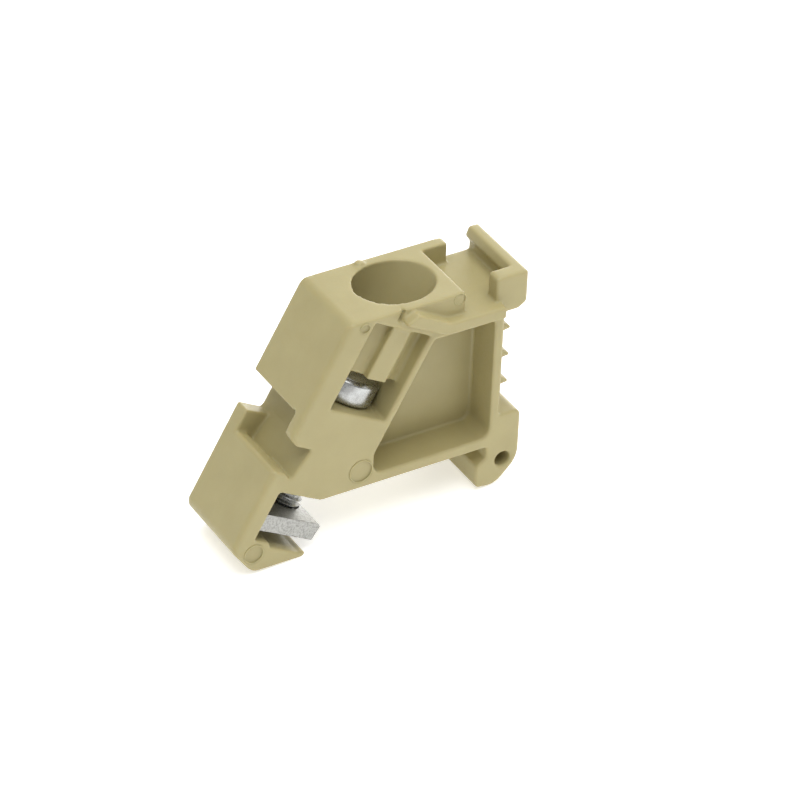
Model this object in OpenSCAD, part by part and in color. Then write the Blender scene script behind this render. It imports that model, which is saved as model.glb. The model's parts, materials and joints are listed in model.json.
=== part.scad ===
// End stop for a 15 mm miniature mounting rail.
// A moulded housing hooks under one rail flange with its fixed foot. A screw that leans away
// from the fixed foot draws a steel clamp plate up under the other flange.
//
// Frame: the origin is on the rail's centre line, on the plane of its top face. X runs across
// the rail from the clamp side to the fixed side, Y along the rail, Z away from the rail.
// The screw leans in the XZ plane. Places near it are given as [u, v]: u runs along the screw
// towards its head, and v across it towards the fixed foot.

/* [Rail] */
// Width of the rail over its two flanges
rail_width = 15; // [14.8:0.1:15.2]
// Gap left for one flange under the fixed side
flange_gap = 1.0; // [0.9:0.05:1.3]

/* [Housing] */
// Thickness of the housing along the rail
body_width = 7.5; // [7:0.1:9]
// Height of the flat top over the rail
body_height = 15.4; // [15:0.1:17]
// Height of the marker channel's floor over the rail
channel_height = 13.55; // [13.2:0.05:13.9]
// Lean of the screw from the upright, in degrees
lean = 29; // [27:0.5:31]
// Sharpest outer corner's radius
corner_radius = 0.5; // [0.3:0.05:0.6]

/* [Pocket] */
// Depth of the open pocket in each side
pocket_depth = 3.1; // [2.5:0.1:3.3]
// Thickness of the outer wall beside the pocket
side_wall = 0.8; // [0.7:0.05:1]
// Thickness of the floor between the pocket and the rail
base_wall = 0.93; // [0.8:0.01:1.2]
// Thickness of the rib between the pocket and the screw window
screw_rib = 0.6; // [0.5:0.05:0.7]

/* [Screw] */
// Outer diameter of the screw's thread
screw_diameter = 3; // [2.9:0.05:3.1]
// Length of the screw under its head
screw_length = 12; // [11.5:0.1:12]
// Diameter of the screw's head
head_diameter = 5.5; // [5:0.1:5.6]
// Height of the screw's head
head_height = 2; // [1.8:0.1:2.4]
// Width of the driver slot
slot_width = 0.8; // [0.6:0.1:1]
// Depth of the driver slot
slot_depth = 0.85; // [0.6:0.05:1]
// Play round the screw's head in its shaft
head_play = 0.15; // [0.1:0.05:0.2]
// Play between the screw and the hole that it turns in
screw_play = 0.08; // [0.05:0.01:0.1]

/* [Clamp plate] */
// Thickness of the clamp plate
plate_thickness = 1.45; // [1.2:0.05:1.6]
// Length of the clamp plate across the rail
plate_length = 5.5; // [5.3:0.1:5.7]
// Width of the clamp plate along the rail
plate_width = 6.8; // [6:0.1:7]
// Distance of the plate's upper face below the housing, as drawn
plate_drop = 2.15; // [1.6:0.05:2.3]
// Play of the plate against the wall that keeps it from turning
plate_play = 0.1; // [0.05:0.05:0.2]

/* [Teeth] */
// Number of ratchet teeth on the outer wall
tooth_count = 3; // [2:1:3]
// Distance from one tooth to the next
tooth_pitch = 2.5; // [2.3:0.1:2.6]
// Reach of a tooth from the wall
tooth_reach = 1.05; // [0.6:0.05:1.2]

/* [Hidden] */
$fn = 64;
arc_step = 10;
eps = 0.02;

beige = "#CDBE85";
steel = "#B9BBB8";

front = -body_width / 2;
back = body_width / 2;
rail_edge = rail_width / 2;

// The screw's line and the walls that stand along it
screw_v = -6.8;
column_v = -12;
guide_v = -10.5;
rib_v = -3.7;
seat_u = 4.1;
shaft_radius = head_diameter / 2 + head_play;
screw_radius = screw_diameter / 2;
hole_radius = screw_radius + screw_play;

// The fixed side
wall_x = rail_edge + 0.97;
wall_inner_x = wall_x - side_wall;
foot_x = rail_edge + 2.9;
toe_x = rail_edge - 0.9;
foot_bottom = -3.87;
foot_top = 2.75;
block_x = 4.85;

// The clamp side
base_x = -rail_edge + 0.2;
under_u = base_x * sin(lean);
ledge_u = -8.25;
shoe_bottom = -4.81;
rim_u = -1.95;

// The screw's line in the housing: [u, v] to [x, z]
function at(u, v) = [u * sin(lean) + v * cos(lean), u * cos(lean) - v * sin(lean)];

// One rounded corner b between a and c, and a closed outline of [x, z, radius] corners
function unit(d) = d / norm(d);
function corner(a, b, c, r) =
    let (p = unit(a - b), q = unit(c - b), half = acos(p * q) / 2,
         centre = b + unit(p + q) * r / sin(half),
         start = b + p * r / tan(half) - centre,
         from = atan2(start[1], start[0]),
         sweep = (180 - 2 * half) * (cross(p, q) > 0 ? -1 : 1),
         steps = max(1, ceil(abs(sweep) / arc_step)))
    [for (k = [0 : steps]) centre + r * [cos(from + sweep * k / steps), sin(from + sweep * k / steps)]];
function xy(p) = [p[0], p[1]];
function rounded(points) =
    let (n = len(points))
    [for (i = [0 : n - 1])
        let (p = points[i])
        each (p[2] == 0 ? [xy(p)]
              : corner(xy(points[(i + n - 1) % n]), xy(p), xy(points[(i + 1) % n]), p[2]))];
function with_radius(p, r = 0) = [p[0], p[1], r];

// Outline of the whole housing, seen from the front
outline = [
    [base_x, 0, 0.8],
    with_radius(at(under_u, guide_v), 0.2),
    with_radius(at(ledge_u + 0.35, guide_v), 0.2),
    with_radius(at(ledge_u + 0.35, guide_v + 1.5), 0.3),
    with_radius(at(ledge_u, guide_v + 1.7), 0.1),
    with_radius(at(ledge_u, screw_v + 0.9)),
    with_radius(at(ledge_u + 0.25, screw_v + 1.5), 0.15),
    [base_x - 1.45, shoe_bottom, 0.3],
    [base_x - 5.9, shoe_bottom, 1.2],
    with_radius(at(-9.3, column_v), 0.9),
    with_radius(at(rim_u, column_v), 0.3),
    with_radius(at(rim_u, column_v + 1.2), 0.3),
    with_radius(at(rim_u - 0.45, column_v + 1.8), 0.2),
    with_radius(at(0.44, column_v + 2.35), 0.1),
    with_radius(at(0.44, column_v + 0.85), corner_radius),
    with_radius(at(0.98, column_v), corner_radius),
    [(column_v + body_height * sin(lean)) / cos(lean), body_height, 1.8],
    [block_x, body_height, 0.2],
    [block_x, channel_height, 0.2],
    [wall_x, channel_height, 0.3],
    [wall_x, foot_top, 0.1],
    [foot_x, foot_top, corner_radius],
    [foot_x, -1.9, 2.2],
    [wall_x - 0.1, foot_bottom, 1.5],
    [toe_x, foot_bottom + 0.25, 0.4],
    [toe_x, -flange_gap - 0.65, 0.1],
    [rail_edge, -flange_gap, 0.1],
    [rail_edge, 0, 0.1]
];

// Outline of the pocket beside the screw rib
pocket_top = channel_height - 1.75;
pocket = [
    [(rib_v + pocket_top * sin(lean)) / cos(lean), pocket_top, 0.2],
    [wall_inner_x, pocket_top, 0.2],
    [wall_inner_x, base_wall, 0.9],
    [-2.75, base_wall, 0.8],
    with_radius(at(1.2, rib_v), 0.6)
];

// A flat shape of the XZ plane, thickened from y0 to y1
module slab(y0, y1) {
    translate([0, y1, 0]) rotate([90, 0, 0]) linear_extrude(y1 - y0) children();
}

// A rectangle of the leaning frame, thickened from y0 to y1
module leaning_block(u0, u1, v0, v1, y0, y1) {
    slab(y0, y1) polygon([at(u0, v0), at(u0, v1), at(u1, v1), at(u1, v0)]);
}

// Something drawn upright round the Z axis, put on the screw's line with its foot at u
module on_screw(u) {
    foot = at(u, screw_v);
    translate([foot[0], 0, foot[1]]) rotate([0, lean, 0]) children();
}

// Ratchet teeth down the outer wall
module teeth() {
    inset = 0.6;
    for (k = [0 : tooth_count - 1]) {
        z = channel_height - 2.3 - k * tooth_pitch;
        slab(front + inset, back - inset)
            polygon([[wall_x - eps, z], [wall_x + tooth_reach, z - 0.85], [wall_x + tooth_reach, z - 0.97],
                     [wall_x - eps, z - 1.1]]);
    }
}

// Hook beyond the marker channel: an outer wall with a barb, and a front cheek
hook_x = foot_x;
hook_top = body_height + 0.25;
hook_wall = 0.85;
cheek = 1.3;
module hook() {
    lip = 0.3;
    slab(front, back)
        polygon(rounded([
            [wall_x - 0.6, channel_height - 1.15, 0], [hook_x - 0.7, channel_height - 1.15, 0.1],
            [hook_x, channel_height - 0.7, 0.3], [hook_x, hook_top, 0.15],
            [hook_x - hook_wall, hook_top, 0.15], [hook_x - hook_wall - lip, hook_top - 0.75, 0.15],
            [hook_x - hook_wall + 0.1, hook_top - 1.3, 0.1], [hook_x - hook_wall + 0.1, channel_height, 0.1],
            [wall_x - 0.6, channel_height, 0]]));
    slab(front, front + cheek)
        polygon(rounded([
            [wall_x - 0.85, channel_height - 0.5, 0.1], [hook_x - hook_wall / 2, channel_height - 0.5, 0],
            [hook_x - hook_wall / 2, hook_top, 0], [wall_x - 0.85, hook_top, 0.3]]));
}

// Fin at the back of the marker channel, which carries on the top's back edge
module fin() {
    slab(back - 1.0, back)
        polygon(rounded([
            [block_x - 0.3, channel_height - 0.2, 0], [7.1, channel_height - 0.2, 0],
            [7.1, body_height - 0.6, 0.2], [6.6, body_height, 0.2], [block_x - 0.3, body_height, 0]]));
}

// Ledge that stands proud of the front, under the channel and up along the screw window
ledge_reach = 0.9;
ledge_thickness = 1.0;
bend_x = 3.25;
module ledge() {
    // The channel's floor bends up across the screw's line here
    top_u = bend_x * sin(lean) + channel_height * cos(lean);
    slab(front - ledge_reach, front + 0.3)
        polygon(rounded([
            with_radius(at(top_u, screw_v - 0.3), 0.1), [bend_x, channel_height, 1.5],
            [wall_x - 0.4, channel_height, 0.2], [wall_x - 0.4, channel_height - ledge_thickness, 0.2],
            [bend_x - 0.3, channel_height - ledge_thickness, 1.5],
            with_radius(at(top_u - 1.1, screw_v - 1.0), 0.1)]));
}

// Shaft for the driver, the screw's seat and its hole
module screw_shaft() {
    on_screw(seat_u) cylinder(h = 16, r = shaft_radius);
    on_screw(under_u - 1) cylinder(h = seat_u - under_u + 2, r = hole_radius);
}

// Window over the screw's head. Above the head the shaft's wall closes it, with a raised strip up
// the middle and a relief each side.
window_u0 = 4.0;
window_u1 = 11.65;
window_v0 = screw_v - 3.05;
window_v1 = rib_v - screw_rib;
wall_u = 7.0;
relief = 0.75;
strip_depth = 0.25;
strip_v0 = screw_v - 1.05;
strip_v1 = screw_v + 0.8;
module screw_window() {
    difference() {
        leaning_block(window_u0, window_u1, window_v0, window_v1, front - 1, 0);
        leaning_block(wall_u, window_u1 + 1, window_v0 - 1, window_v1 + 1, front + relief, 1);
        leaning_block(wall_u, window_u1 + 1, strip_v0, strip_v1, front + strip_depth, 1);
    }
}

// Slot between the rim and the column, where a label holder clips in
module label_slot() {
    // The column's flank stands back behind the front tab
    leaning_block(0.2, 2.8, column_v - 1, column_v + 2.35, front + 1.1, back + 1);
    // Well behind the rim
    leaning_block(-5, rim_u + 1, column_v + 1.1, column_v + 2.35, front + 3, back - 1.4);
}

module back_post() {
    leaning_block(rim_u - 0.5, -0.1, column_v, column_v + 2.4, back - 1.4, back);
}

// Round marks that the mould's pins leave in the front face: [x, z, radius]
pin_marks = [[-3.85, 1.6, 1.0], [-13.1, -3.05, 0.8], [-3.9, 14.8, 0.42]];
mark_depth = 0.12;
module marks() {
    for (m = pin_marks)
        slab(front - 1, front + mark_depth) translate([m[0], m[1]]) circle(r = m[2]);
}

// Small blind hole in the fixed foot
module foot_hole() {
    slab(front - 1, front + 3) translate([rail_edge + 1.5, -1.6]) circle(r = 0.67);
}

module housing() {
    color(beige) difference() {
        union() {
            slab(front, back) polygon(rounded(outline));
            teeth();
            hook();
            fin();
            ledge();
            back_post();
        }
        slab(front - 1, front + pocket_depth) polygon(rounded(pocket));
        slab(back - pocket_depth, back + 1) polygon(rounded(pocket));
        screw_shaft();
        screw_window();
        label_slot();
        marks();
        foot_hole();
    }
}

module clamp_screw() {
    gap = 0.04;
    chamfer = 0.3;
    color(steel) on_screw(seat_u + gap - screw_length) difference() {
        rotate_extrude() polygon([
            [0, 0], [screw_radius - chamfer, 0], [screw_radius, chamfer], [screw_radius, screw_length],
            [head_diameter / 2 - 0.1, screw_length], [head_diameter / 2, screw_length + 0.1],
            [head_diameter / 2, screw_length + head_height - 0.3],
            [head_diameter / 2 - 0.3, screw_length + head_height], [0, screw_length + head_height]]);
        translate([-head_diameter, -slot_width / 2, screw_length + head_height - slot_depth])
            cube([2 * head_diameter, slot_width, slot_depth + 1]);
    }
}

plate_u = under_u - plate_drop - plate_thickness;
module clamp_plate() {
    v0 = guide_v + plate_play;
    v1 = v0 + plate_length;
    nose = 0.2;
    color(steel) difference() {
        slab(-plate_width / 2, plate_width / 2)
            polygon([at(plate_u, v0), at(plate_u, v1 - 0.15), at(plate_u + plate_thickness - nose, v1),
                     at(plate_u + plate_thickness, v1 - nose), at(plate_u + plate_thickness, v0)]);
        on_screw(plate_u - 1) cylinder(h = plate_thickness + 2, r = screw_radius + 0.05);
    }
}

housing();
clamp_screw();
clamp_plate();
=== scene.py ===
# %% [markdown]
# # Dressing a small rail end stop
# The real object is a slim moulded clamp that stops terminal blocks from sliding along a rail.
# It has three loose pieces: a khaki plastic housing, a steel screw that leans in it, and a steel
# plate that the screw draws up under the rail. The CAD model fixes every size and every place.
# This lesson loads it, then builds finer pieces over it: softened moulded edges, a real thread
# and grainy plating.

# %% Load the fixed CAD frame
import json
import math

import bmesh
import bpy
from mathutils import Matrix, Vector
from mathutils import noise as hills


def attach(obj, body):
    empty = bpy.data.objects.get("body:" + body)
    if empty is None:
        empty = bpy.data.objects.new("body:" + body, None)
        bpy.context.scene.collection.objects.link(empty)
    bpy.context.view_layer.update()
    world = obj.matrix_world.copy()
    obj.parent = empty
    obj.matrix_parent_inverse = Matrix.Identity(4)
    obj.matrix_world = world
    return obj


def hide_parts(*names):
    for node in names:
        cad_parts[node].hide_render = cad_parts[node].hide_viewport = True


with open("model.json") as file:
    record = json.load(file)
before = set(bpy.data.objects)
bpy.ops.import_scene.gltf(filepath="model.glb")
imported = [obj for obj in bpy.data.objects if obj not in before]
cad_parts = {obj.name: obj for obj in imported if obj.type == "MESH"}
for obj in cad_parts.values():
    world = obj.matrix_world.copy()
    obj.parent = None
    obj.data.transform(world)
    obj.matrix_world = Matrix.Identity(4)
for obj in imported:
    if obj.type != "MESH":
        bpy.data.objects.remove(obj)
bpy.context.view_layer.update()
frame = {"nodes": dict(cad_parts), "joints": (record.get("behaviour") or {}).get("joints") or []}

MM = 0.001

# %% [markdown]
# ## A frame that leans with the screw
# The screw does not stand upright, so places near it are easier to give as u along the screw and
# v across it. The direction is not typed in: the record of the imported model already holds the
# screw's axis and a point on it, and reading them keeps the pieces in step with the CAD.

# %% The leaning frame
turning = next(j for j in frame["joints"] if j["name"] == "screw_turn")
screw_axis = Vector(turning["axis"]).normalized()
across = Vector((screw_axis.z, 0, -screw_axis.x))
seat = Vector(turning["pos_m"])
SEAT_U = seat.dot(screw_axis) / MM
SCREW_V = seat.dot(across) / MM


def place(u, v, y=0.0):
    """The point at u along the screw, v across it and y along the rail, all in millimetres."""
    return (screw_axis * u + across * v) * MM + Vector((0, y * MM, 0))


screw_frame = Matrix((
    (across.x, 0, screw_axis.x, seat.x),
    (0, 1, 0, seat.y),
    (across.z, 0, screw_axis.z, seat.z),
    (0, 0, 0, 1),
))
print("seat of the screw: u", round(SEAT_U, 2), "v", round(SCREW_V, 2))

# %% [markdown]
# ## The camera
# A long lens keeps a small product from looking stretched. The camera is described as a
# person would place it: how far round, how high, how far away and how much it is rolled.
# Those numbers become three axes, and the axes become the camera's matrix.

# %% Place the camera
CAMERA_ROUND = math.radians(31.7)
CAMERA_HEIGHT = math.radians(35.32)
CAMERA_ROLL = math.radians(-2.33)
LENS = 189.0
SENSOR = 36.0
camera_place = Vector((-137.30, -225.05, 191.53)) * MM

forward = Vector((
    math.sin(CAMERA_ROUND) * math.cos(CAMERA_HEIGHT),
    math.cos(CAMERA_ROUND) * math.cos(CAMERA_HEIGHT),
    -math.sin(CAMERA_HEIGHT),
))
level = Vector((math.cos(CAMERA_ROUND), -math.sin(CAMERA_ROUND), 0))
down = forward.cross(level)
right = math.cos(CAMERA_ROLL) * level + math.sin(CAMERA_ROLL) * down
up = math.sin(CAMERA_ROLL) * level - math.cos(CAMERA_ROLL) * down

camera_data = bpy.data.cameras.new("camera")
camera_data.lens = LENS
camera_data.sensor_width = SENSOR
camera_data.clip_start = 0.01
camera_data.clip_end = 5.0
camera = bpy.data.objects.new("camera", camera_data)
bpy.context.scene.collection.objects.link(camera)
camera.matrix_world = Matrix((
    (right.x, up.x, -forward.x, camera_place.x),
    (right.y, up.y, -forward.y, camera_place.y),
    (right.z, up.z, -forward.z, camera_place.z),
    (0, 0, 0, 1),
))
bpy.context.scene.camera = camera
print("camera is", round((camera_place - seat).length / MM), "mm away")

# %% [markdown]
# ## Building materials from nodes
# Every finish below is a small chain of nodes on a Principled shader. Noise textures read Object
# coordinates, in metres, so a scale of 1000 means one blob for each millimetre. Four helpers
# keep the chains readable: one starts a material, one adds a node, one joins two sockets and
# one makes a noise of a stated grain size.

# %% Helpers for materials
def new_finish(name, metallic, roughness):
    """A material with its Principled shader ready, and its object coordinates."""
    finish = bpy.data.materials.new(name)
    finish.use_nodes = True
    shader = finish.node_tree.nodes["Principled BSDF"]
    shader.inputs["Metallic"].default_value = metallic
    shader.inputs["Roughness"].default_value = roughness
    where = finish.node_tree.nodes.new("ShaderNodeTexCoord")
    return finish, shader, where


def add(finish, kind, **values):
    """A new node, with its input sockets set by name."""
    node = finish.node_tree.nodes.new(kind)
    for socket, value in values.items():
        node.inputs[socket.replace("_", " ")].default_value = value
    return node


def join(finish, out, into):
    finish.node_tree.links.new(out, into)


def grain(finish, where, size_mm, detail=3.0, rough=0.55):
    """Noise whose blobs are about size_mm across."""
    noise = add(finish, "ShaderNodeTexNoise", Scale=1000.0 / size_mm, Detail=detail, Roughness=rough)
    join(finish, where.outputs["Object"], noise.inputs["Vector"])
    return noise


def between(finish, noise, low, high, start=0.3, end=0.7):
    """Maps a noise's middle values onto the range from low to high."""
    spread = add(finish, "ShaderNodeMapRange", From_Min=start, From_Max=end, To_Min=low, To_Max=high)
    join(finish, noise.outputs["Fac"], spread.inputs["Value"])
    return spread.outputs["Result"]


def two_tones(finish, noise, dark, light, start=0.3, end=0.7):
    """Mixes two colours by a noise."""
    mix = finish.node_tree.nodes.new("ShaderNodeMix")
    mix.data_type = "RGBA"
    mix.inputs["A"].default_value = (*dark, 1)
    mix.inputs["B"].default_value = (*light, 1)
    colours = [s for s in mix.inputs if s.type == "RGBA"]
    colours[0].default_value, colours[1].default_value = (*dark, 1), (*light, 1)
    join(finish, between(finish, noise, 0, 1, start, end), mix.inputs["Factor"])
    return next(s for s in mix.outputs if s.type == "RGBA")


def relief(finish, height, distance_mm, strength, under=None):
    """A bump of a stated height, laid over another bump where one is given."""
    bump = add(finish, "ShaderNodeBump", Strength=strength, Distance=distance_mm * MM)
    join(finish, height, bump.inputs["Height"])
    if under is not None:
        join(finish, under.outputs["Normal"], bump.inputs["Normal"])
    return bump

# %% [markdown]
# ## Khaki moulded plastic
# The housing is a glass-filled nylon. It is matt but not dead: flat faces show a faint cloudy
# tone, the mould leaves a very fine grain, and thin edges glow a little because light soaks in.
# Subsurface scattering gives the glow, two noises give the tone and the grain, and the grain's
# noise also makes the roughness uneven, so that the soft reflections are not perfectly clean.

# %% Khaki plastic
plastic, shader, where = new_finish("khaki_nylon", 0.0, 0.5)
cloud = grain(plastic, where, 3.0, 2.0)
speck = grain(plastic, where, 0.22, 2.0)
tone = two_tones(plastic, cloud, (0.368, 0.318, 0.149), (0.394, 0.342, 0.164))
join(plastic, tone, shader.inputs["Base Color"])
join(plastic, between(plastic, speck, 0.42, 0.56), shader.inputs["Roughness"])
skin = relief(plastic, speck.outputs["Fac"], 0.012, 0.35)
waves = relief(plastic, cloud.outputs["Fac"], 0.05, 0.25, under=skin)
join(plastic, waves.outputs["Normal"], shader.inputs["Normal"])
shader.inputs["Subsurface Weight"].default_value = 0.18
shader.inputs["Subsurface Radius"].default_value = (1.0, 0.62, 0.26)
shader.inputs["Subsurface Scale"].default_value = 0.0007
shader.inputs["IOR"].default_value = 1.5
print("finish:", plastic.name)

# %% [markdown]
# ## Plated steel, twice
# The screw is turned and zinc plated, so it is fairly smooth. The plate is cut from bar and
# tumbled, so its skin is coarse: light grains with dark pits between them. Both share one
# recipe, and only the grain sizes, tones and roughness differ.

# %% Steel finishes
def plated_steel(name, dark, light, grain_mm, pit_mm, rough, pit_depth):
    steel, shader, where = new_finish(name, 1.0, 0.4)
    fine = grain(steel, where, grain_mm, 3.0, 0.6)
    pits = grain(steel, where, pit_mm, 4.0, 0.65)
    join(steel, two_tones(steel, pits, dark, light, 0.36, 0.58), shader.inputs["Base Color"])
    join(steel, between(steel, fine, rough[0], rough[1]), shader.inputs["Roughness"])
    coarse = relief(steel, pits.outputs["Fac"], pit_depth, 0.6)
    skin = relief(steel, fine.outputs["Fac"], pit_depth / 2, 0.5, under=coarse)
    join(steel, skin.outputs["Normal"], shader.inputs["Normal"])
    print("finish:", steel.name)
    return steel


screw_steel = plated_steel("plated_screw_steel", (0.343, 0.343, 0.335), (0.468, 0.476, 0.468),
                           0.12, 0.9, (0.22, 0.34), 0.0015)
plate_steel = plated_steel("tumbled_plate_steel", (0.281, 0.281, 0.265), (0.437, 0.437, 0.421),
                           0.07, 0.16, (0.40, 0.58), 0.02)

# %% [markdown]
# ## Tidy copies of the CAD meshes
# A CAD node arrives as loose triangles. A copy can be merged, and the triangles of each flat face
# dissolved into one polygon, which gives modifiers a clean mesh to work on. The small units of a
# 25 mm part upset some modifiers, so a copy may be worked on at a thousand times its size, where
# one unit is a millimetre.

# %% Copy a CAD node and tidy its mesh
def tidy_copy(node, name):
    """A copy of a CAD node's mesh, merged and with its flat faces whole."""
    mesh = frame["nodes"][node].data.copy()
    mesh.name = name
    mesh.materials.clear()
    shape = bmesh.new()
    shape.from_mesh(mesh)
    bmesh.ops.remove_doubles(shape, verts=shape.verts, dist=0.001 * MM)
    bmesh.ops.dissolve_limit(shape, angle_limit=math.radians(0.3), use_dissolve_boundaries=False,
                             verts=shape.verts, edges=shape.edges)
    shape.to_mesh(mesh)
    shape.free()
    piece = bpy.data.objects.new(name, mesh)
    bpy.context.scene.collection.objects.link(piece)
    print(name, "has", len(mesh.polygons), "faces after merging")
    return piece


def keep_result(piece):
    """Turns what a piece's modifiers make into its plain mesh."""
    graph = bpy.context.evaluated_depsgraph_get()
    made = bpy.data.meshes.new_from_object(piece.evaluated_get(graph), depsgraph=graph)
    made.name = piece.name
    piece.modifiers.clear()
    piece.data = made
    return piece


def finish_faces(piece, material, smooth_below=35.0):
    """One material, smooth curves and crisp corners."""
    piece.data.materials.clear()
    piece.data.materials.append(material)
    for face in piece.data.polygons:
        face.material_index = 0
    piece.data.shade_smooth()
    piece.data.set_sharp_from_angle(angle=math.radians(smooth_below))
    return piece

# %% [markdown]
# ## Cutters for the housing
# A real moulding has soft edges. Most of them come from the smoothing below, but the front edge of
# the leaning column has a much larger round, which one cutter with a hollow quarter circle makes.
# Others deepen the reliefs each side of the strip over the window and cut the slit above them.

# %% Cutters for the column's edge, the slit and the slot beside the shaft
FRONT = -3.75
COLUMN_V = -12.0
COLUMN_ROUND = 0.45
VOXEL = 0.14


def prism(name, first_end, second_end):
    """A closed helper body, in millimetres, between two rings of matching corners."""
    shape = bmesh.new()
    ends = [[shape.verts.new(corner) for corner in ring] for ring in (first_end, second_end)]
    shape.faces.new(ends[0])
    shape.faces.new(reversed(ends[1]))
    count = len(first_end)
    for i in range(count):
        j = (i + 1) % count
        shape.faces.new((ends[0][j], ends[0][i], ends[1][i], ends[1][j]))
    bmesh.ops.recalc_face_normals(shape, faces=shape.faces)
    mesh = bpy.data.meshes.new(name)
    shape.to_mesh(mesh)
    shape.free()
    piece = bpy.data.objects.new(name, mesh)
    bpy.context.scene.collection.objects.link(piece)
    return piece


def cutter(name, section, u0, u1):
    """A prism along the screw's direction from [v, y] corners of its section."""
    return prism(name, *[[place(u, v, y) / MM for v, y in section] for u in (u0, u1)])


inner_v, inner_y = COLUMN_V + COLUMN_ROUND, FRONT + COLUMN_ROUND
quarter = [(inner_v - COLUMN_ROUND * math.sin(math.radians(a)),
            inner_y - COLUMN_ROUND * math.cos(math.radians(a)))
           for a in range(0, 91, 9)]
edge_section = [(COLUMN_V - 0.5, FRONT - 0.5), (inner_v, FRONT - 0.5)] + quarter + [(COLUMN_V - 0.5, inner_y)]
slit_section = [(-8.02, FRONT - 0.3), (-7.66, FRONT - 0.3), (-7.70, FRONT + 0.45), (-7.98, FRONT + 0.45)]
TUBE_RADIUS = 3.2
SLOT_FLOOR = FRONT + 1.15
tube_wall = [(v, min(SLOT_FLOOR, -math.sqrt(TUBE_RADIUS ** 2 - (v - SCREW_V) ** 2)))
             for v in (-4.32, -4.7, -5.0, -5.2, -5.4, -5.6, -5.8, -5.98)]
right_slot = [(-5.98, FRONT - 0.4), (-4.32, FRONT - 0.4)] + tube_wall
left_slot = [(-9.84, FRONT - 0.4), (-7.86, FRONT - 0.4), (-7.86, FRONT + 0.9), (-9.84, FRONT + 1.3)]
cutters = [
    cutter("edge_cutter", edge_section, -10.6, 12.4),
    cutter("slit_cutter", slit_section, 12.25, 13.2),
    cutter("right_slot_cutter", right_slot, 6.99, 11.62),
    cutter("left_slot_cutter", left_slot, 6.99, 11.62),
]
print("cutters:", [c.name for c in cutters])

# %% [markdown]
# A few small forms are added to the housing: the column's top corner is fuller than its first
# rounding, the fin at the back keeps its corner, the well behind the rim is shorter, and a tiny nub
# from the mould stands on the back edge of the top.

# %% Fillers
CORNER = Vector((-5.18, 15.396))
CORNER_ROUND = 0.8
TOP_WAY = Vector((1.0, 0.0))
SIDE_WAY = Vector((-screw_axis.x, -screw_axis.z))


def corner_profile():
    """The fuller corner as [x, z]: along the top, round the corner, down the side, back inside."""
    inward = (TOP_WAY + SIDE_WAY).normalized()
    half = TOP_WAY.angle(SIDE_WAY) / 2
    centre = CORNER + inward * (CORNER_ROUND / math.sin(half))
    top_normal, side_normal = Vector((0.0, 1.0)), Vector((-screw_axis.z, screw_axis.x))
    arc = [centre + CORNER_ROUND * top_normal.lerp(side_normal, k / 8).normalized()
           for k in range(9)]
    return [CORNER + 1.3 * inward, CORNER + 1.2 * TOP_WAY] + arc + [CORNER + 1.2 * SIDE_WAY]


def bar(name, profile, y0, y1):
    """A prism along Y from [x, z] corners of its section."""
    return prism(name, *[[Vector((x, y, z)) for x, z in profile] for y in (y0, y1)])


fin = [(6.3, 14.6), (7.1, 14.6), (7.1, 15.25), (6.95, 15.39), (6.3, 15.39)]
WELL_LOW = -3.5
well = [(WELL_LOW, -10.95), (-2.05, -10.85), (-2.4, -10.2), (-0.95, -9.92), (-0.95, -9.6), (WELL_LOW, -9.6)]
NUB_X, NUB_Y, NUB_RADIUS, NUB_SIDES = -0.4, 3.30, 0.36, 12
nub = [(NUB_X + NUB_RADIUS * math.cos(k * math.tau / NUB_SIDES),
        NUB_Y + NUB_RADIUS * math.sin(k * math.tau / NUB_SIDES)) for k in range(NUB_SIDES)]
fillers = [
    bar("corner_filler", corner_profile(), -3.745, 3.745),
    bar("fin_filler", fin, 2.75, 3.745),
    prism("well_filler", *[[place(u, v, y) / MM for u, v in well] for y in (-0.9, 2.35)]),
    prism("gate_nub", *[[Vector((x, y, z)) for x, y in nub] for z in (14.9, 15.62)]),
]
print("fillers:", [f.name for f in fillers])

# %% [markdown]
# ## One soft moulding
# The CAD's bore is made of flat strips, so a finer circle is cut into it first, with the radius
# read from the mesh. Fillers are joined and cutters taken away with exact booleans. Very small
# voxels then give an even mesh, a shrinkwrap onto the crisp mesh makes flat faces flat again, and
# a little smoothing leaves every edge soft. Last, triangles that flat faces don't need are removed.

# %% Cut, remesh and smooth the housing
housing = tidy_copy("housing", "moulded_housing")
housing.data.transform(Matrix.Scale(1 / MM, 4))


def from_axis(point):
    """How far along the screw's direction a point lies, and how far off its axis, in mm."""
    way = point - seat / MM
    along = way.dot(screw_axis)
    return along + SEAT_U, (way - screw_axis * along).length


corners = [from_axis(v.co) for v in housing.data.vertices]
rim = sorted(off for along, off in corners if along > 11.8 and off < 3.6)
BORE_RADIUS = rim[len(rim) // 2]
BORE_EASE = 0.004
BORE_SIDES = 96
circle = [(SCREW_V + (BORE_RADIUS + BORE_EASE) * math.cos(k * math.tau / BORE_SIDES),
           seat.y / MM + (BORE_RADIUS + BORE_EASE) * math.sin(k * math.tau / BORE_SIDES))
          for k in range(BORE_SIDES)]
cutters.append(cutter("bore_cutter", circle, 8.0, 17.0))
print("bore radius:", round(BORE_RADIUS, 3), "read from", len(rim), "corners of the CAD mesh")
for tool in fillers + cutters:
    step = housing.modifiers.new(tool.name, "BOOLEAN")
    step.operation = "UNION" if tool in fillers else "DIFFERENCE"
    step.solver = "EXACT"
    step.object = tool
keep_result(housing)
crisp = bpy.data.objects.new("crisp_housing", housing.data.copy())
bpy.context.scene.collection.objects.link(crisp)
voxels = housing.modifiers.new("voxels", "REMESH")
voxels.mode = "VOXEL"
voxels.voxel_size = VOXEL
voxels.use_smooth_shade = True
melt = housing.modifiers.new("melt", "SMOOTH")
melt.factor = 0.5
melt.iterations = 2
snap = housing.modifiers.new("snap", "SHRINKWRAP")
snap.target = crisp
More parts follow.
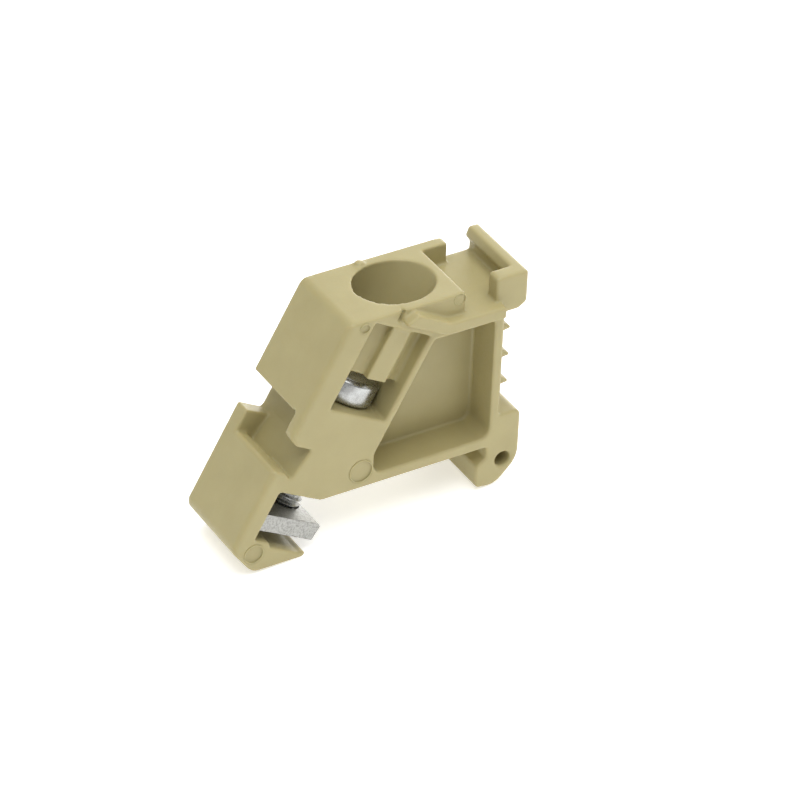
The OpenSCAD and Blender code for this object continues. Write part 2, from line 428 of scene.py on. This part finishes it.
snap.wrap_method = "NEAREST_SURFACEPOINT"
soften = housing.modifiers.new("soften", "SMOOTH")
soften.factor = 0.5
soften.iterations = 3
thin = housing.modifiers.new("thin", "DECIMATE")
thin.ratio = 0.77
keep_result(housing)
housing.data.transform(Matrix.Scale(MM, 4))
for tool in fillers + cutters + [crisp]:
    bpy.data.objects.remove(tool)
finish_faces(housing, plastic, 80.0)
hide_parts("housing")
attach(housing, "housing")
print("housing triangles:", sum(len(f.vertices) - 2 for f in housing.data.polygons),
      "size:", [round(v / MM, 2) for v in housing.dimensions])

# %% [markdown]
# ## Rings round the mould's pin marks
# Where an ejector pin met the mould's wall, a hair of plastic crept round it and left a fine
# raised ring. Four rings of different sizes are one rule, so Geometry Nodes place them: a point
# at the middle of each mark carries its radius as an attribute, and a thin ring is put on each
# point and scaled by it. The ring's thickness is a named input.

# %% Rings by Geometry Nodes
def socket_of(tree, name):
    """The identifier of a tree's input, which a modifier needs in place of its name."""
    return next(s.identifier for s in tree.interface.items_tree
                if s.item_type == "SOCKET" and s.in_out == "INPUT" and s.name == name)


def ring_tree(material):
    tree = bpy.data.node_groups.new("pin_mark_rings", "GeometryNodeTree")
    tree.interface.new_socket("Geometry", in_out="INPUT", socket_type="NodeSocketGeometry")
    tree.interface.new_socket("Thickness", in_out="INPUT", socket_type="NodeSocketFloat")
    tree.interface.new_socket("Geometry", in_out="OUTPUT", socket_type="NodeSocketGeometry")
    nodes, links = tree.nodes, tree.links
    given, result = nodes.new("NodeGroupInput"), nodes.new("NodeGroupOutput")
    radius = nodes.new("GeometryNodeInputNamedAttribute")
    radius.data_type = "FLOAT"
    radius.inputs["Name"].default_value = "mark_radius"
    circle = nodes.new("GeometryNodeCurvePrimitiveCircle")
    circle.inputs["Resolution"].default_value = 40
    circle.inputs["Radius"].default_value = 1.0
    rings = nodes.new("GeometryNodeInstanceOnPoints")
    rings.inputs["Rotation"].default_value = (math.pi / 2, 0, 0)
    loose = nodes.new("GeometryNodeRealizeInstances")
    wire = nodes.new("GeometryNodeCurvePrimitiveCircle")
    wire.inputs["Resolution"].default_value = 8
    sweep = nodes.new("GeometryNodeCurveToMesh")
    whole = nodes.new("GeometryNodeRealizeInstances")
    finish = nodes.new("GeometryNodeSetMaterial")
    finish.inputs["Material"].default_value = material
    links.new(given.outputs["Geometry"], rings.inputs["Points"])
    links.new(circle.outputs["Curve"], rings.inputs["Instance"])
    links.new(radius.outputs["Attribute"], rings.inputs["Scale"])
    links.new(rings.outputs["Instances"], loose.inputs["Geometry"])
    links.new(loose.outputs["Geometry"], sweep.inputs["Curve"])
    links.new(given.outputs["Thickness"], wire.inputs["Radius"])
    links.new(wire.outputs["Curve"], sweep.inputs["Profile Curve"])
    links.new(sweep.outputs["Mesh"], whole.inputs["Geometry"])
    links.new(whole.outputs["Geometry"], finish.inputs["Geometry"])
    links.new(finish.outputs["Geometry"], result.inputs["Geometry"])
    return tree


# x, z and radius of each mark in millimetres
pin_marks = [(-3.85, 1.6, 0.98), (-13.1, -3.05, 0.80), (-3.9, 14.8, 0.42), (4.33, 14.9, 0.50)]
ring_points = bpy.data.meshes.new("mark_rings")
ring_points.from_pydata([(x, FRONT + 0.01, z) for x, z, _ in pin_marks], [], [])
sizes = ring_points.attributes.new("mark_radius", "FLOAT", "POINT")
sizes.data.foreach_set("value", [r for _, _, r in pin_marks])
rings = bpy.data.objects.new("mark_rings", ring_points)
bpy.context.scene.collection.objects.link(rings)
placing = rings.modifiers.new("placing", "NODES")
placing.node_group = ring_tree(plastic)
placing[socket_of(placing.node_group, "Thickness")] = 0.05
keep_result(rings)
rings.data.transform(Matrix.Scale(MM, 4))
finish_faces(rings, plastic, 60.0)
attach(rings, "housing")
print("ring faces:", len(rings.data.polygons))

# %% [markdown]
# ## Cutting a thread with Geometry Nodes
# A thread follows a rule: one small ridge wound round a core, with the same rise each turn. So
# a node tree makes it. A Spiral gives the path, a three-sided profile is swept along it, and the
# sizes are named inputs of the tree. The ridge sinks a little into the core, which closes the
# thread's root. The sweep is joined to a plain core of the root's radius.

# %% The thread's node tree
OUTWARD = -1.0  # the side of the path that faces away from the screw's middle


def thread_tree(material):
    tree = bpy.data.node_groups.new("screw_thread", "GeometryNodeTree")
    tree.interface.new_socket("Geometry", in_out="OUTPUT", socket_type="NodeSocketGeometry")
    for name, value in (("Length", 12.0), ("Pitch", 0.5), ("Outer radius", 1.5),
                        ("Root radius", 1.2), ("Turn steps", 28.0)):
        made = tree.interface.new_socket(name, in_out="INPUT", socket_type="NodeSocketFloat")
        made.default_value = value
    nodes, links = tree.nodes, tree.links
    sizes = nodes.new("NodeGroupInput")
    result = nodes.new("NodeGroupOutput")

    def sum_of(kind, a, b):
        node = nodes.new("ShaderNodeMath")
        node.operation = kind
        for socket, value in zip(node.inputs, (a, b)):
            if isinstance(value, (int, float)):
                socket.default_value = value
            else:
                links.new(value, socket)
        return node.outputs[0]

    turns = sum_of("DIVIDE", sizes.outputs["Length"], sizes.outputs["Pitch"])
    depth = sum_of("SUBTRACT", sizes.outputs["Outer radius"], sizes.outputs["Root radius"])
    depth = sum_of("MULTIPLY", depth, OUTWARD)
    path = nodes.new("GeometryNodeCurveSpiral")
    links.new(sizes.outputs["Turn steps"], path.inputs["Resolution"])
    links.new(turns, path.inputs["Rotations"])
    links.new(sizes.outputs["Root radius"], path.inputs["Start Radius"])
    links.new(sizes.outputs["Root radius"], path.inputs["End Radius"])
    links.new(sizes.outputs["Length"], path.inputs["Height"])
    upright = nodes.new("GeometryNodeSetCurveNormal")
    upright.mode = "Z_UP"
    links.new(path.outputs["Curve"], upright.inputs["Curve"])

    # The ridge: two points buried in the core, and a narrow crest
    ridge = nodes.new("GeometryNodeCurvePrimitiveQuadrilateral")
    ridge.mode = "POINTS"
    half_pitch = sum_of("MULTIPLY", sizes.outputs["Pitch"], 0.44)
    crest = sum_of("MULTIPLY", sizes.outputs["Pitch"], 0.07)

    def corner(socket, across_value, along_value):
        point = nodes.new("ShaderNodeCombineXYZ")
        for axis, value in (("X", across_value), ("Y", along_value)):
            if isinstance(value, (int, float)):
                point.inputs[axis].default_value = value
            else:
                links.new(value, point.inputs[axis])
        links.new(point.outputs[0], ridge.inputs[socket])

    buried = -0.03 * OUTWARD
    corner("Point 1", buried, half_pitch)
    corner("Point 2", depth, crest)
    corner("Point 3", depth, sum_of("MULTIPLY", crest, -1.0))
    corner("Point 4", buried, sum_of("MULTIPLY", half_pitch, -1.0))
    sweep = nodes.new("GeometryNodeCurveToMesh")
    sweep.inputs["Fill Caps"].default_value = True
    links.new(upright.outputs["Curve"], sweep.inputs["Curve"])
    links.new(ridge.outputs["Curve"], sweep.inputs["Profile Curve"])
    finish = nodes.new("GeometryNodeSetMaterial")
    finish.inputs["Material"].default_value = material
    whole = nodes.new("GeometryNodeRealizeInstances")
    links.new(sweep.outputs["Mesh"], whole.inputs["Geometry"])
    links.new(whole.outputs["Geometry"], finish.inputs["Geometry"])
    links.new(finish.outputs["Geometry"], result.inputs["Geometry"])
    return tree


THREAD_LENGTH = 11.2
thread = bpy.data.objects.new("thread", bpy.data.meshes.new("thread"))
bpy.context.scene.collection.objects.link(thread)
winding = thread.modifiers.new("winding", "NODES")
winding.node_group = thread_tree(screw_steel)
for name, value in (("Length", THREAD_LENGTH), ("Pitch", 0.5), ("Outer radius", 1.5),
                    ("Root radius", 1.2), ("Turn steps", 28.0)):
    winding[socket_of(winding.node_group, name)] = value
keep_result(thread)
print("thread faces:", len(thread.data.polygons), "reach:",
      round(max(math.hypot(v.co.x, v.co.y) for v in thread.data.vertices), 3))

# %% [markdown]
# ## The screw
# The CAD screw is a plain pin with a slotted head, as wide as the thread's crests. A copy of it
# keeps the head exactly in place. Its shank is drawn in to the thread's root, its head's edges
# are rounded, and the wound ridge is joined on, so the screw is one piece.

# %% Make the screw
SCREW_RADIUS = 1.5
ROOT_RADIUS = 1.2
screw = tidy_copy("clamp_screw", "leaning_screw")
shape = bmesh.new()
shape.from_mesh(screw.data)
shape.transform(screw_frame.inverted())
for vertex in shape.verts:
    reach = math.hypot(vertex.co.x, vertex.co.y)
    if vertex.co.z < -0.01 * MM and reach < (SCREW_RADIUS + 0.01) * MM:
        draw = min(1.0, ROOT_RADIUS * MM / reach) if reach > 0 else 1.0
        vertex.co.x *= draw
        vertex.co.y *= draw
shape.to_mesh(screw.data)
shape.free()
round_head = screw.modifiers.new("round_head", "BEVEL")
round_head.width = 0.06 * MM
round_head.segments = 2
round_head.limit_method = "ANGLE"
round_head.angle_limit = math.radians(28)
round_head.use_clamp_overlap = True
keep_result(screw)
thread.data.transform(Matrix.Translation((0, 0, -11.75 * MM)) @ Matrix.Scale(MM, 4))
shape = bmesh.new()
shape.from_mesh(screw.data)
shape.from_mesh(thread.data)
shape.transform(screw_frame)
shape.to_mesh(screw.data)
shape.free()
bpy.data.objects.remove(thread)
finish_faces(screw, screw_steel)
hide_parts("clamp_screw")
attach(screw, "screw")
print("screw faces:", len(screw.data.polygons))

# %% [markdown]
# ## The clamp plate
# The plate is a short length of steel bar, tumbled until its corners are worn and its faces are
# rough. A fine grid of faces lets a noise really move the surface, so the roughness is also
# there in the mesh itself, and a bevel first takes the edge off the corners.

# %% Make the clamp plate
plate = tidy_copy("clamp_plate", "clamp_plate_dressed")
worn = plate.modifiers.new("worn_corners", "BEVEL")
worn.width = 0.09 * MM
worn.segments = 2
worn.limit_method = "ANGLE"
worn.angle_limit = math.radians(28)
keep_result(plate)
shape = bmesh.new()
shape.from_mesh(plate.data)
bmesh.ops.triangulate(shape, faces=shape.faces)
STEP = 0.16 * MM
for _ in range(7):
    long_edges = [e for e in shape.edges if e.calc_length() > STEP * 1.5]
    if not long_edges:
        break
    bmesh.ops.subdivide_edges(shape, edges=long_edges, cuts=1)
    bmesh.ops.triangulate(shape, faces=shape.faces)
shape.normal_update()
pushes = {}
for vertex in shape.verts:
    point = vertex.co / MM
    height = hills.fractal(point * 3.2, 0.8, 2.1, 3)
    pushes[vertex.index] = vertex.normal * (height * 0.016 - 0.012) * MM
for vertex in shape.verts:
    vertex.co += pushes[vertex.index]
shape.to_mesh(plate.data)
shape.free()
finish_faces(plate, plate_steel, 50.0)
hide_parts("clamp_plate")
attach(plate, "plate")
print("plate faces:", len(plate.data.polygons))

# %% [markdown]
# ## The floor
# The stop stands on its two feet, and one is a little lower than the other. The floor is turned
# by that small angle, so that both feet touch it, as they would on a table. It glows a little,
# like a light table, which keeps the shadow under the part pale.

# %% Floor under both feet
FOOT_LEFT = Vector((-9.0, 0, -4.81)) * MM
FOOT_RIGHT = Vector((8.6, 0, -3.87)) * MM
slope = math.atan2(FOOT_RIGHT.z - FOOT_LEFT.z, FOOT_RIGHT.x - FOOT_LEFT.x)
floor_mesh = bpy.data.meshes.new("floor")
HALF = 0.6
floor_mesh.from_pydata(
    [FOOT_LEFT + Vector((x * math.cos(slope), y, x * math.sin(slope))) - Vector((0, 0, 0.02 * MM))
     for x, y in ((-HALF, -HALF), (HALF, -HALF), (HALF, HALF), (-HALF, HALF))],
    [], [(0, 1, 2, 3)])
floor = bpy.data.objects.new("floor", floor_mesh)
bpy.context.scene.collection.objects.link(floor)
paper, shader, where = new_finish("pale_paper", 0.0, 0.9)
fibres = grain(paper, where, 1.5, 3.0)
join(paper, two_tones(paper, fibres, (0.93, 0.93, 0.925), (0.95, 0.95, 0.945)), shader.inputs["Base Color"])
shader.inputs["Emission Color"].default_value = (1.0, 1.0, 1.0, 1)
shader.inputs["Emission Strength"].default_value = 0.45
floor_mesh.materials.append(paper)
print("floor slopes by", round(math.degrees(slope), 2), "degrees")

# %% [markdown]
# ## Soft studio light
# Small objects are lit with large lights, because a light much bigger than the object gives soft
# edges to every shadow. One broad light hangs above, a weak one stands at the right, and one low
# at the back right is mirrored by the steel. A white world fills the rest.

# %% Lights and world
def soft_light(name, where_mm, size_mm, power, aim=(0, 0, 5)):
    data = bpy.data.lights.new(name, "AREA")
    data.shape = "RECTANGLE"
    data.size, data.size_y = size_mm[0] * MM, size_mm[1] * MM
    data.energy = power
    light = bpy.data.objects.new(name, data)
    bpy.context.scene.collection.objects.link(light)
    light.location = Vector(where_mm) * MM
    towards = Vector(aim) * MM - light.location
    light.rotation_euler = towards.to_track_quat("-Z", "Y").to_euler()
    return light


soft_light("overhead", (-10, -40, 260), (260, 260), 0.66)
soft_light("right", (280, -60, 170), (200, 200), 0.14)
soft_light("back_right", (240, 240, 40), (220, 220), 0.75)
world = bpy.data.worlds.new("studio")
world.use_nodes = True
sky = world.node_tree.nodes["Background"]
sky.inputs["Color"].default_value = (1.0, 1.0, 1.0, 1)
sky.inputs["Strength"].default_value = 0.49
bpy.context.scene.world = world
bpy.context.scene.view_settings.view_transform = "Standard"
